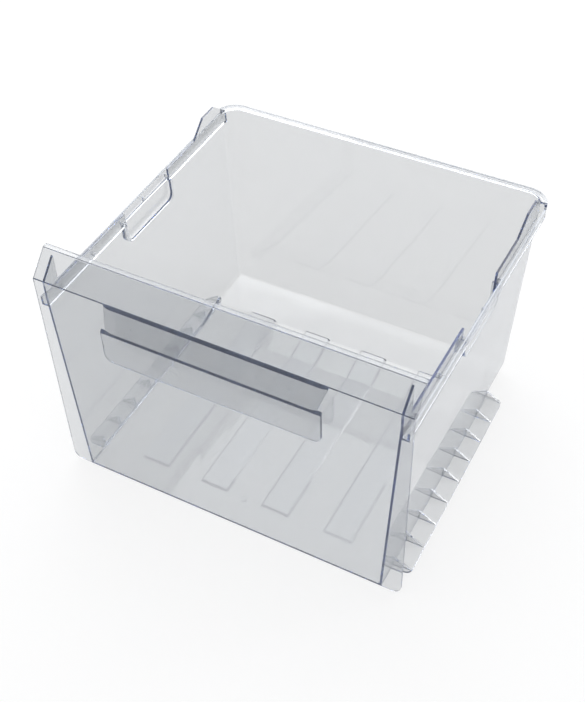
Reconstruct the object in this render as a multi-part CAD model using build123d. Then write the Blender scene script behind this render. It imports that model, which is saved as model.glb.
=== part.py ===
from build123d import *

import os
from math import hypot

# Clear moulded freezer drawer in one piece: tub, front panel with a hanging grip, rim and ribbed runners.
# Depth runs from the front face of the panel, height from the underside of the floor.

# Overall sizes
PANEL_WIDTH = 430.0
PANEL_HEIGHT = 315.0
TUB_DEPTH = 390.0          # front face of the panel to the back of the tub at its rim
WALL = 2.6                 # general wall of the moulding
PANEL_WALL = 3.0           # front panel, a little stouter than the tub

# Front panel
BAND_HEIGHT = 25.0         # top band of the panel, which leans back
BAND_LEAN = 25.0           # how far the band leans back at its top
BAND_RETURN = 6.0          # bead along the top of the band
PANEL_CORNER = 12.0        # lower corners of the panel
PANEL_LIFT = 1.0           # lower edge of the panel above the floor's underside
EDGE_SOFT = 0.8            # rounding of the panel's and the flap's free edges
CHEEK_DEPTH = 23.0         # back of the webs under the band's ends

# Tub
EAR_TOP = 11.0             # the panel stands out this far past the tub wall at the rim
EAR_BOTTOM = 23.0          # and this far at the floor, because the walls have draft
SIDE_FLARE = 3.5           # each side wall stands out this much further at the back than at the front
BACK_LEAN = 20.0           # the back wall comes forward this far at the floor
RIM_CORNER = 20.0          # upright corners at the back, at the rim
FLOOR_CORNER = 6.0         # the same corners at the floor
FLOOR_EDGE = 3.0           # inner rounding where the floor turns up into the walls
HEEL_EDGE = 7.0            # outer rounding under the raised rear of the floor
WALL_TOP_DROP = 43.0       # top of the side walls below the top of the panel

# Rim channel along the sides, which turns over into a flange with a skirt round the back
CHANNEL_WIDTH = 8.0
CHANNEL_DEPTH = 15.0       # wall top above the channel floor
LIP_DROP = 6.0             # outer lip below the wall top
CHANNEL_RIB = 2.0
CHANNEL_RIB_DROP = 4.0     # cross ribs below the lip
FRONT_RIB_SET = 30.0       # first cross rib behind the panel
FLANGE_SET = 13.0          # the flange starts this far ahead of the tub's back
FLANGE_DROP = 0.8          # flange below the wall top
SKIRT_DEPTH = 6.0          # skirt under the flange, from its top

# Grip recess in each side wall
RECESS_LENGTH = 98.0
RECESS_HEIGHT = 28.0       # below the channel floor
RECESS_DEPTH = 4.5         # outward
RECESS_CORNER = 11.0

# Stops that stand up at the back of the side walls
STOP_HEIGHT = 18.0
STOP_RISE = 24.0           # length of the slope
STOP_LENGTH = 26.0         # level top
STOP_SET = 37.0            # rear end of the level top ahead of the tub's back

# Floor
RAMP_LENGTH = 43.0
RAMP_HEIGHT = 10.0
RAMP_SET = 85.0            # top of the ramp ahead of the tub's back
STRIP_COUNT = 4
STRIP_WIDTH = 37.0
STRIP_PITCH = 81.0
STRIP_HEIGHT = 2.0
STRIP_BEVEL = 2.6          # width of the sloped sides
STRIP_SET = 36.0           # front ends behind the front face of the panel
GATE_DIAMETER = 7.0
GATE_HEIGHT = 0.8

# Runners
RUNNER_WALL = 3.0
RUNNER_LIFT = 3.0          # underside above the floor's underside
RUNNER_START = 26.0        # behind the front face of the panel
RUNNER_SET = 78.0          # rear end ahead of the tub's back
RUNNER_CORNER = 8.0
GUSSET_COUNT = 9
GUSSET_SET = 5.0           # first and last gusset from the runner's ends
GUSSET_HEIGHT = 14.0
GUSSET_WALL = 2.2
GUSSET_STEP = 0.5          # foot of each gusset short of the runner's edge

# Grip on the panel
GRIP_OUT = 14.0            # front of the flap ahead of the panel
GRIP_FALL = 27.0           # drop of the sloped roof from the crease to the flap
FLAP_HEIGHT = 41.0
FLAP_WALL = 3.0
FLAP_CORNER = 10.0
FLAP_WIDTH = 252.0
ROOF_SPREAD = 8.0          # the roof's crease passes each end of the flap
ROOF_UNDERCUT = 5.0        # the roof's underside falls short of each end at the panel
ROOF_SEAM = 4.5            # upright thickness of the roof at the panel
ROOF_SOFT = 0.6            # rounding of the roof's slanted ends
DIMPLE_COUNT = 6
DIMPLE_DIAMETER = 3.2
DIMPLE_DEPTH = 0.9

# Levels and places that follow from the sizes above
HALF_PANEL = PANEL_WIDTH / 2
CREASE_Z = PANEL_HEIGHT - BAND_HEIGHT
WALL_TOP = PANEL_HEIGHT - WALL_TOP_DROP
CHANNEL_FLOOR = WALL_TOP - CHANNEL_DEPTH
LIP_TOP = WALL_TOP - LIP_DROP
FLANGE_TOP = WALL_TOP - FLANGE_DROP
FLANGE_START = TUB_DEPTH - FLANGE_SET
RIM_HALF = HALF_PANEL - EAR_TOP
FLOOR_HALF = HALF_PANEL - EAR_BOTTOM
FLOOR_BACK = TUB_DEPTH - BACK_LEAN
RAMP_TOP = TUB_DEPTH - RAMP_SET
RAMP_START = RAMP_TOP - RAMP_LENGTH
RUNNER_END = TUB_DEPTH - RUNNER_SET
GUSSET_PITCH = (RUNNER_END - RUNNER_START - 2 * GUSSET_SET) / (GUSSET_COUNT - 1)
DIMPLE_PITCH = FLAP_WIDTH / (DIMPLE_COUNT + 1)
RECESS_CENTRE = TUB_DEPTH / 2
RECESS_START = RECESS_CENTRE - RECESS_LENGTH / 2
RECESS_END = RECESS_CENTRE + RECESS_LENGTH / 2
STOP_TOP = WALL_TOP + STOP_HEIGHT
STOP_END = TUB_DEPTH - STOP_SET
RIB_TOP = LIP_TOP - CHANNEL_RIB_DROP
RIB_PLACES = [FRONT_RIB_SET, (FRONT_RIB_SET + RECESS_START) / 2, RECESS_START, RECESS_CENTRE, RECESS_END]
SPARE = 20.0               # how far cutting tools pass the material
FAR = TUB_DEPTH + PANEL_WIDTH


def share(z):
    """Height as a share of the tub wall, 0 at the floor and 1 at the rim."""
    return z / WALL_TOP


def side_half(y, z):
    """Half width of the tub's outer face at depth y and height z."""
    return FLOOR_HALF + (RIM_HALF - FLOOR_HALF) * share(z) + SIDE_FLARE * y / TUB_DEPTH


def back_reach(z):
    """Depth of the tub's outer back face at height z."""
    return FLOOR_BACK + (TUB_DEPTH - FLOOR_BACK) * share(z)


def corner(z):
    """Radius of the tub's rear corners at height z."""
    return FLOOR_CORNER + (RIM_CORNER - FLOOR_CORNER) * share(z)


def plan(z, grow=0.0, front=0.0):
    """Level outline of the tub at height z, grown outwards, with rounded rear corners."""
    back = back_reach(z) + grow
    near = side_half(front, z) + grow
    far = side_half(back, z) + grow
    outline = Polyline((-near, front), (near, front), (far, back), (-far, back), close=True)
    face = make_face(outline)
    rounded = fillet(face.vertices().group_by(Axis.Y)[-1], corner(z) + grow)
    return Pos(0, 0, z) * rounded


def tub_form(grow, front, high):
    """Drafted solid form of the tub up to a height, grown outwards; its rear corners open upwards."""
    return loft([plan(0, grow, front), plan(high, grow, front)], ruled=True)


def upright(points, start, end, soft=0.0):
    """Closed profile of depth and height points, its corners softened, carried across from start to end."""
    profile = make_face(Polyline(*[(0, y, z) for y, z in points], close=True))
    if soft:
        profile = fillet(profile.vertices(), soft)
    return Pos(start, 0, 0) * extrude(profile, amount=end - start, dir=(1, 0, 0))


def floor_line(lift, start, end):
    """Depth and height points along the floor, lifted above its underside."""
    line = [(start, lift)]
    if start < RAMP_START:
        line.append((RAMP_START, lift))
    line.append((RAMP_TOP, lift + RAMP_HEIGHT))
    if end > RAMP_TOP:
        line.append((end, lift + RAMP_HEIGHT))
    return line


def mirrored(piece):
    """A piece and its twin on the other side of the drawer."""
    return piece + mirror(piece, about=Plane.YZ)


REAR_REACH = back_reach(CHANNEL_FLOOR) + CHANNEL_WIDTH
MID_DEPTH = (REAR_REACH - GRIP_OUT) / 2


def tub_shell():
    """Drafted tub: outer form less its hollow, the step under its floor and what lies above its rim."""
    outer = tub_form(0, PANEL_WALL / 2, STOP_TOP) - behind_runners()
    heel = outer.edges().filter_by(lambda e: abs(e.center().Z - RAMP_HEIGHT) < WALL / 2)
    outer = fillet(heel.filter_by(lambda e: e.center().Y > RUNNER_END + WALL), HEEL_EDGE)
    return outer - under_step() - hollow() - above_rim()


def hollow():
    """Inside of the tub, down to the floor, with the floor's edges rounded."""
    high = STOP_TOP + SPARE
    inner = tub_form(-WALL, -SPARE, high)
    over_floor = upright(floor_line(WALL, -FAR, FAR) + [(FAR, high + SPARE), (-FAR, high + SPARE)], -FAR, FAR)
    space = inner & over_floor
    low = space.edges().filter_by(lambda e: e.center().Z < WALL + RAMP_HEIGHT + FLOOR_EDGE)
    sides = low.filter_by(lambda e: abs(e.center().X) > FLOOR_HALF - 2 * WALL)
    back = low.filter_by(lambda e: e.center().Y > FLOOR_BACK - 2 * WALL and abs(e.center().X) < WALL)
    return fillet(sides + back, FLOOR_EDGE)


def behind_runners():
    """Space below the raised floor behind the runners' ends."""
    profile = [(RUNNER_END, -SPARE), (FAR, -SPARE), (FAR, RAMP_HEIGHT), (RUNNER_END, RAMP_HEIGHT)]
    return upright(profile, -FAR, FAR)


def under_step():
    """Space under the floor's ramp, between side walls that reach down to the runners."""
    profile = floor_line(0, RAMP_START, FAR) + [(FAR, -SPARE), (RAMP_START, -SPARE)]
    between_walls = Pos(0, 0, -SPARE) * extrude(plan(0, -WALL), amount=SPARE + RAMP_HEIGHT + WALL)
    return upright(profile, -FAR, FAR) & between_walls


def above_rim():
    """Everything above the rim line, which rises to a stop on each side and falls back to the flange."""
    top = STOP_END - STOP_LENGTH
    line = [(-SPARE, WALL_TOP), (top - STOP_RISE, WALL_TOP), (top, STOP_TOP), (STOP_END, STOP_TOP),
            (FLANGE_START, WALL_TOP), (FAR, WALL_TOP)]
    return upright(line + [(FAR, STOP_TOP + SPARE), (-SPARE, STOP_TOP + SPARE)], -FAR, FAR)


def strip_section(y, level):
    """Cross-section of a floor strip at depth y, sunk half way into a floor with its top at level."""
    sunk = WALL / 2
    foot = STRIP_WIDTH / 2 + STRIP_BEVEL * sunk / STRIP_HEIGHT
    crown = STRIP_WIDTH / 2 - STRIP_BEVEL
    outline = Polyline((-foot, y, level - sunk), (foot, y, level - sunk), (crown, y, level + STRIP_HEIGHT),
                       (-crown, y, level + STRIP_HEIGHT), close=True)
    return make_face(outline)


def floor_strips():
    """Raised strips with sloped sides along the floor, which climb its ramp, and the round gate mark."""
    places = [(STRIP_SET - STRIP_BEVEL, WALL), (RAMP_START, WALL), (RAMP_TOP, WALL + RAMP_HEIGHT)]
    strip = loft([strip_section(y, level) for y, level in places], ruled=True)
    front_slope = Plane((0, STRIP_SET, WALL), x_dir=(1, 0, 0), z_dir=(0, -STRIP_HEIGHT, STRIP_BEVEL))
    strip = split(strip, bisect_by=front_slope, keep=Keep.BOTTOM)
    strips = Part()
    for index in range(STRIP_COUNT):
        strips += Pos((index - (STRIP_COUNT - 1) / 2) * STRIP_PITCH, 0, 0) * strip
    gate = Pos(0, STRIP_SET, WALL / 2) * extrude(Circle(GATE_DIAMETER / 2), amount=WALL / 2 + GATE_HEIGHT)
    return strips + gate


def front_panel():
    """Upright panel whose top band leans back to a bead, with rounded lower corners."""
    slant = hypot(BAND_LEAN, BAND_HEIGHT)
    inner_crease = CREASE_Z - PANEL_WALL * (BAND_LEAN / slant) / (1 + BAND_HEIGHT / slant)
    bead_under = PANEL_HEIGHT - PANEL_WALL
    inner_top = PANEL_WALL + (bead_under - inner_crease) * BAND_LEAN / BAND_HEIGHT
    bead_back = max(BAND_LEAN + BAND_RETURN, inner_top + PANEL_WALL)
    front = [(0, PANEL_LIFT), (0, CREASE_Z), (BAND_LEAN, PANEL_HEIGHT)]
    bead = [(bead_back, PANEL_HEIGHT), (bead_back, bead_under)]
    profile = front + bead + [(inner_top, bead_under), (PANEL_WALL, inner_crease), (PANEL_WALL, PANEL_LIFT)]
    return upright(profile, -HALF_PANEL, HALF_PANEL, EDGE_SOFT) & front_outline()


def front_outline():
    """Outline of the panel seen from the front, carried through its depth."""
    high = PANEL_HEIGHT + SPARE
    outline = Polyline((-HALF_PANEL, 0, PANEL_LIFT), (HALF_PANEL, 0, PANEL_LIFT), (HALF_PANEL, 0, high),
                       (-HALF_PANEL, 0, high), close=True)
    face = make_face(outline)
    face = fillet(face.vertices().group_by(Axis.Z)[0], PANEL_CORNER)
    return extrude(face, amount=BAND_LEAN + BAND_RETURN + SPARE, dir=(0, 1, 0))


def cheeks():
    """Webs that carry the leaning band on the front ends of the side walls."""
    root = PANEL_WALL / 2
    top = CREASE_Z + (CHEEK_DEPTH - PANEL_WALL) * BAND_HEIGHT / BAND_LEAN
    profile = [(root, CHANNEL_FLOOR), (root, CREASE_Z), (CHEEK_DEPTH, top), (CHEEK_DEPTH, CHANNEL_FLOOR)]
    return mirrored(upright(profile, RIM_HALF - WALL, RIM_HALF))


def rim_parts(front):
    """Level outlines of the whole rim and of its outer lip."""
    outer = plan(CHANNEL_FLOOR, CHANNEL_WIDTH, front)
    whole = outer - plan(CHANNEL_FLOOR, -WALL / 2, front)
    lip = outer - plan(CHANNEL_FLOOR, CHANNEL_WIDTH - WALL, front)
    return whole, lip


def cross_web(y, low, high):
    """Web across the rim on each side, from the wall to the lip."""
    start = side_half(y, WALL_TOP) - WALL
    end = side_half(y, CHANNEL_FLOOR) + CHANNEL_WIDTH - WALL / 2
    near = y - CHANNEL_RIB / 2
    far = y + CHANNEL_RIB / 2
    return mirrored(upright([(near, low), (far, low), (far, high), (near, high)], start, end))


def rim_channel():
    """Open channel outside the side walls with cross ribs, closed by a web where the flange starts."""
    whole, lip = rim_parts(PANEL_WALL / 2)
    channel = extrude(whole, amount=-WALL) + extrude(lip, amount=LIP_TOP - CHANNEL_FLOOR)
    channel = split(channel, bisect_by=flange_plane(), keep=Keep.BOTTOM)
    for y in RIB_PLACES:
        channel += cross_web(y, CHANNEL_FLOOR - WALL / 2, RIB_TOP)
    return channel + cross_web(FLANGE_START, CHANNEL_FLOOR - WALL / 2, FLANGE_TOP - WALL / 2)


def rim_flange():
    """Flat flange round the back of the rim, with a skirt that carries on the channel's lip."""
    whole, lip = rim_parts(PANEL_WALL / 2)
    flange = extrude(lip, amount=-SKIRT_DEPTH) + extrude(whole, amount=-WALL)
    flange = Pos(0, 0, FLANGE_TOP - CHANNEL_FLOOR) * flange
    return split(flange, bisect_by=flange_plane(), keep=Keep.TOP)


def flange_plane():
    """Upright plane across the drawer where the rim channel turns into the flange."""
    return Plane((0, FLANGE_START, 0), x_dir=(1, 0, 0), z_dir=(0, 1, 0))


def recess_outline(inset, top):
    """U-shaped outline of a grip recess on the side of the tub, drawn in inset, up to a level."""
    low = CHANNEL_FLOOR - RECESS_HEIGHT + inset
    start = RECESS_START + inset
    end = RECESS_END - inset
    face = make_face(Polyline((0, start, low), (0, end, low), (0, end, top), (0, start, top), close=True))
    return fillet(face.vertices().group_by(Axis.Z)[0], RECESS_CORNER - inset)


def recess_swellings():
    """Outer skin of the grip recesses, under the channel."""
    near = side_half(RECESS_START, CHANNEL_FLOOR - RECESS_HEIGHT) - WALL
    reach = side_half(RECESS_CENTRE, CHANNEL_FLOOR) + RECESS_DEPTH
    skin = extrude(recess_outline(0, CHANNEL_FLOOR), amount=reach - near, dir=(1, 0, 0))
    return mirrored(Pos(near, 0, 0) * skin)


def recess_pockets():
    """Inside of the grip recesses, open at the top through the wall."""
    near = FLOOR_HALF
    reach = side_half(RECESS_CENTRE, CHANNEL_FLOOR) + RECESS_DEPTH - WALL
    pocket = extrude(recess_outline(WALL, STOP_TOP), amount=reach - near, dir=(1, 0, 0))
    return mirrored(Pos(near, 0, 0) * pocket)


def runners():
    """Flat runner along the foot of each side wall, propped by triangular gussets."""
    low = RUNNER_LIFT
    near = side_half(RUNNER_START, low) - WALL
    far = side_half(RUNNER_END, low) - WALL
    outline = Polyline((near, RUNNER_START), (HALF_PANEL, RUNNER_START), (HALF_PANEL, RUNNER_END),
                       (far, RUNNER_END), close=True)
    face = make_face(outline)
    face = fillet(face.vertices().group_by(Axis.X)[-1], RUNNER_CORNER)
    runner = Pos(0, 0, low) * extrude(face, amount=RUNNER_WALL)
    top = low + RUNNER_WALL
    edge = HALF_PANEL - GUSSET_STEP
    for index in range(GUSSET_COUNT):
        y = RUNNER_START + GUSSET_SET + index * GUSSET_PITCH
        foot = side_half(y, top) - WALL / 2
        outline = Polyline((foot, 0, top), (edge, 0, top), (foot, 0, top + GUSSET_HEIGHT), close=True)
        web = extrude(make_face(outline), amount=GUSSET_WALL, dir=(0, -1, 0))
        runner += Pos(0, y + GUSSET_WALL / 2, 0) * web
    return mirrored(runner)


def roof_plane(side):
    """Slanted plane that ends the grip's roof on one side."""
    half = FLAP_WIDTH / 2
    crease = Vector(side * (half + ROOF_SPREAD), 0, CREASE_Z)
    under = Vector(side * (half - ROOF_UNDERCUT), 0, CREASE_Z - ROOF_SEAM)
    front = Vector(side * half, -GRIP_OUT, CREASE_Z - GRIP_FALL)
    return Plane(crease, x_dir=front - crease, z_dir=(front - crease).cross(under - crease) * side)


def grip():
    """Finger grip: a sloped roof from the crease of the panel and a flap that hangs from its front edge."""
    fall = CREASE_Z - GRIP_FALL
    low = fall - FLAP_HEIGHT
    back = FLAP_WALL - GRIP_OUT
    under = CREASE_Z - ROOF_SEAM
    inner = under + GRIP_FALL * back / GRIP_OUT
    root = PANEL_WALL / 2
    half = FLAP_WIDTH / 2
    top = [(root, CREASE_Z), (0, CREASE_Z), (-GRIP_OUT, fall), (back, fall)]
    roof = upright(top + [(back, inner), (0, under), (root, under)], -half - SPARE, half + SPARE)
    for side in (-1, 1):
        roof = split(roof, bisect_by=roof_plane(side), keep=Keep.BOTTOM)
    ends = roof.edges().filter_by(lambda e: abs(e.center().X) > half - ROOF_UNDERCUT and e.length > GRIP_OUT)
    roof = fillet(ends.filter_by(lambda e: abs(e.tangent_at(0.5).X) < 0.5), ROOF_SOFT)
    flap = upright([(-GRIP_OUT, fall), (-GRIP_OUT, low), (back, low), (back, inner + ROOF_SEAM / 2)],
                   -half, half)
    flap = fillet(flap.edges().filter_by(Axis.Y).group_by(Axis.Z)[0], FLAP_CORNER)
    free = flap.edges().filter_by(lambda e: e.center().Z < fall - EDGE_SOFT)
    flap = fillet(free.filter_by(lambda e: abs(e.tangent_at(0.5).Y) < 0.5), EDGE_SOFT)
    return roof + flap - dimples()


def dimples():
    """Row of small round dimples along the middle of the grip's roof."""
    slope = hypot(GRIP_OUT, GRIP_FALL)
    middle = Plane((0, -GRIP_OUT / 2, CREASE_Z - GRIP_FALL / 2), x_dir=(1, 0, 0),
                   z_dir=(0, -GRIP_FALL / slope, GRIP_OUT / slope))
    dimple = Cylinder(DIMPLE_DIAMETER / 2, 2 * DIMPLE_DEPTH)
    row = Part()
    for place in GridLocations(DIMPLE_PITCH, 0, DIMPLE_COUNT, 1):
        row += middle.location * place * dimple
    return row


def drawer_body():
    """The whole moulding, with its origin under the middle of its outline."""
    body = tub_shell() + floor_strips() + front_panel() + cheeks()
    body = body + rim_channel() + rim_flange() + recess_swellings()
    body = body - recess_pockets()
    body = body + runners() + grip()
    return Pos(0, -MID_DEPTH, 0) * body


os.makedirs("parts", exist_ok=True)
export_step(drawer_body(), "parts/drawer_body.step")
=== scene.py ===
import math

import bmesh
import bpy
from mathutils import Matrix, Vector

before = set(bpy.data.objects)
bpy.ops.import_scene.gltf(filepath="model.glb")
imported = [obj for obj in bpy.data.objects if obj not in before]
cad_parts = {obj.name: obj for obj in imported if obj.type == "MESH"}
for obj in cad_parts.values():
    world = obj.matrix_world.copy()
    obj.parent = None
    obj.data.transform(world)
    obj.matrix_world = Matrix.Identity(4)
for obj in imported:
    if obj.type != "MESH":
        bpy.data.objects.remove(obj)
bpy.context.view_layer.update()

# Camera at the photograph's angle, in degrees and metres; the frame is 585 by 702
YAW = 29.0
PITCH = 45.6
ROLL = -1.7
EYE = (0.452, -0.8445, 1.085)
LENS = 59.1

# Clear plastic
PLASTIC_TINT = (0.80, 0.80, 0.79, 1.0)
HAZE_TINT = (0.77, 0.772, 0.765, 1.0)
PLASTIC_INDEX = 1.58
EDGE_BLUE = (0.12, 0.34, 0.72, 1.0)
EDGE_DENSITY = 12.0
BODY_BLUE = (0.70, 0.77, 0.95, 1.0)
BODY_SHARE = 0.04
TRAPPED_BOUNCES = 160
FLOW_SCALE = 14.0
FLOW_BUMP = 0.0008
HAZE_SCALE = 60.0

# Stage
FLOOR_TINT = (0.95, 0.95, 0.95, 1.0)
FLOOR_WHITE = (1.0, 1.0, 1.0, 1.0)
FLOOR_GLOW = 0.8
FLOOR_DROP = 0.001
FLOOR_HALF = 6.0
WORLD_LOW = (0.34, 0.35, 0.38, 1.0)
WORLD_HIGH = (0.92, 0.93, 0.94, 1.0)

# Soft lights: name, place, point that it faces, side and power
LIGHTS = [
    ("above", (-0.3, -0.3, 2.2), (0, 0, 0.1), 2.0, 6.0),
    ("behind", (-1.4, 1.9, 1.5), (0, 0, 0.2), 1.0, 3.0),
    ("strips", (1.55, 1.40, 1.18), (0, 0.1, 0), 0.5, 5.0),
    ("ceiling", (-0.81, 1.51, 1.95), (0, 0, 0), 2.4, 32.0),
]


class Value:
    """A shader socket that sums and products can use."""

    def __init__(self, finish, socket):
        self.finish = finish
        self.socket = socket

    def maths(self, operation, first, second):
        return self.finish.node("ShaderNodeMath", {"operation": operation}, {0: first, 1: second})

    def __add__(self, other):
        return self.maths("ADD", self, other)

    def __mul__(self, other):
        return self.maths("MULTIPLY", self, other)

    def __sub__(self, other):
        return self.maths("SUBTRACT", self, other)

    def __rsub__(self, other):
        return self.maths("SUBTRACT", other, self)

    def at_least(self, other):
        return self.maths("MAXIMUM", self, other)

    __radd__ = __add__
    __rmul__ = __mul__


class Finish:
    """The nodes of one material or of the world."""

    def __init__(self, owner):
        owner.use_nodes = True
        self.owner = owner
        self.tree = owner.node_tree
        self.tree.nodes.clear()

    def node(self, kind, settings, inputs, output=0):
        made = self.tree.nodes.new(kind)
        for name, setting in settings.items():
            setattr(made, name, setting)
        for name, value in inputs.items():
            if isinstance(value, Value):
                self.tree.links.new(value.socket, made.inputs[name])
            else:
                made.inputs[name].default_value = value
        if made.outputs:
            return Value(self, made.outputs[output])


def clear_plastic():
    """Gloss polystyrene: faint flow waves, a little haze that varies, and blue where one looks along a wall."""
    finish = Finish(bpy.data.materials.new("clear_plastic"))
    place = finish.node("ShaderNodeTexCoord", {}, {}, "Object")
    flow = finish.node("ShaderNodeTexNoise", {}, {
        "Vector": place, "Scale": FLOW_SCALE, "Detail": 1.0, "Roughness": 0.4})
    haze = finish.node("ShaderNodeTexNoise", {}, {
        "Vector": place, "Scale": HAZE_SCALE, "Detail": 3.0, "Roughness": 0.6})
    tint = finish.node("ShaderNodeMix", {"data_type": "RGBA"},
                       {0: haze, 6: PLASTIC_TINT, 7: HAZE_TINT}, 2)
    waves = finish.node("ShaderNodeBump", {}, {"Height": flow, "Strength": 0.25, "Distance": FLOW_BUMP})
    surface = finish.node("ShaderNodeBsdfPrincipled", {}, {
        "Base Color": tint, "Roughness": 0.015 + 0.03 * haze, "IOR": PLASTIC_INDEX,
        "Transmission Weight": 1.0, "Normal": waves})
    body = finish.node("ShaderNodeBsdfPrincipled", {}, {
        "Base Color": BODY_BLUE, "Roughness": 0.3, "IOR": PLASTIC_INDEX})
    surface = finish.node("ShaderNodeMixShader", {}, {0: BODY_SHARE, 1: surface, 2: body})
    depth = finish.node("ShaderNodeVolumeAbsorption", {}, {"Color": EDGE_BLUE, "Density": EDGE_DENSITY})
    finish.node("ShaderNodeOutputMaterial", {}, {"Surface": surface, "Volume": depth})
    return finish.owner


def dress():
    """The moulding keeps its own mesh and gets the clear plastic."""
    plastic = clear_plastic()
    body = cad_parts["drawer_body"]
    body.data.materials.clear()
    body.data.materials.append(plastic)


def floor():
    """Plain pale floor just under the drawer."""
    mesh = bpy.data.meshes.new("floor")
    shape = bmesh.new()
    bmesh.ops.create_grid(shape, x_segments=1, y_segments=1, size=FLOOR_HALF)
    bmesh.ops.translate(shape, verts=shape.verts, vec=(0, 0, -FLOOR_DROP))
    shape.to_mesh(mesh)
    shape.free()
    finish = Finish(bpy.data.materials.new("floor"))
    paper = finish.node("ShaderNodeBsdfDiffuse", {}, {"Color": FLOOR_TINT})
    white = finish.node("ShaderNodeEmission", {}, {"Color": FLOOR_WHITE, "Strength": 1.0})
    straight, gloss, through = [finish.node("ShaderNodeLightPath", {}, {}, "Is %s Ray" % kind)
                                for kind in ("Camera", "Glossy", "Transmission")]
    seen = straight.at_least(gloss).at_least(through)
    sheet = finish.node("ShaderNodeMixShader", {}, {0: FLOOR_GLOW * seen, 1: paper, 2: white})
    finish.node("ShaderNodeOutputMaterial", {}, {"Surface": sheet})
    mesh.materials.append(finish.owner)
    plane = bpy.data.objects.new("floor", mesh)
    bpy.context.scene.collection.objects.link(plane)


def soft_light(name, place, aim, size, power):
    """A square soft light at a place, turned to a point."""
    lamp = bpy.data.lights.new(name, "AREA")
    lamp.shape = "SQUARE"
    lamp.size = size
    lamp.energy = power
    holder = bpy.data.objects.new(name, lamp)
    holder.location = place
    holder.rotation_euler = (Vector(aim) - Vector(place)).to_track_quat("-Z", "Y").to_euler()
    bpy.context.scene.collection.objects.link(holder)


def studio():
    """Grey room, brighter overhead: a large soft light above, a smaller one behind on the left, one low on the
    right whose gleam runs along the floor's strips, and a bright ceiling that the drawer's floor mirrors."""
    world = bpy.data.worlds.new("studio")
    bpy.context.scene.world = world
    finish = Finish(world)
    way = finish.node("ShaderNodeTexCoord", {}, {}, "Generated")
    height = finish.node("ShaderNodeSeparateXYZ", {}, {"Vector": way}, "Z")
    tone = finish.node("ShaderNodeMix", {"data_type": "RGBA"}, {0: height, 6: WORLD_LOW, 7: WORLD_HIGH}, 2)
    sky = finish.node("ShaderNodeBackground", {}, {"Color": tone, "Strength": 1.0})
    finish.node("ShaderNodeOutputWorld", {}, {"Surface": sky})
    for light in LIGHTS:
        soft_light(*light)


def camera():
    """Camera at the photograph's place."""
    lens = bpy.data.cameras.new("camera")
    lens.lens = LENS
    holder = bpy.data.objects.new("camera", lens)
    turn = Matrix.Rotation(math.radians(YAW), 4, "Z") @ Matrix.Rotation(math.radians(90 - PITCH), 4, "X")
    holder.matrix_world = Matrix.Translation(EYE) @ turn @ Matrix.Rotation(math.radians(ROLL), 4, "Z")
    bpy.context.scene.collection.objects.link(holder)
    bpy.context.scene.camera = holder


dress()
floor()
studio()
camera()
bpy.context.scene.view_settings.view_transform = "Standard"
for kind in ("max_bounces", "transmission_bounces", "glossy_bounces", "diffuse_bounces"):
    setattr(bpy.context.scene.cycles, kind, TRAPPED_BOUNCES)
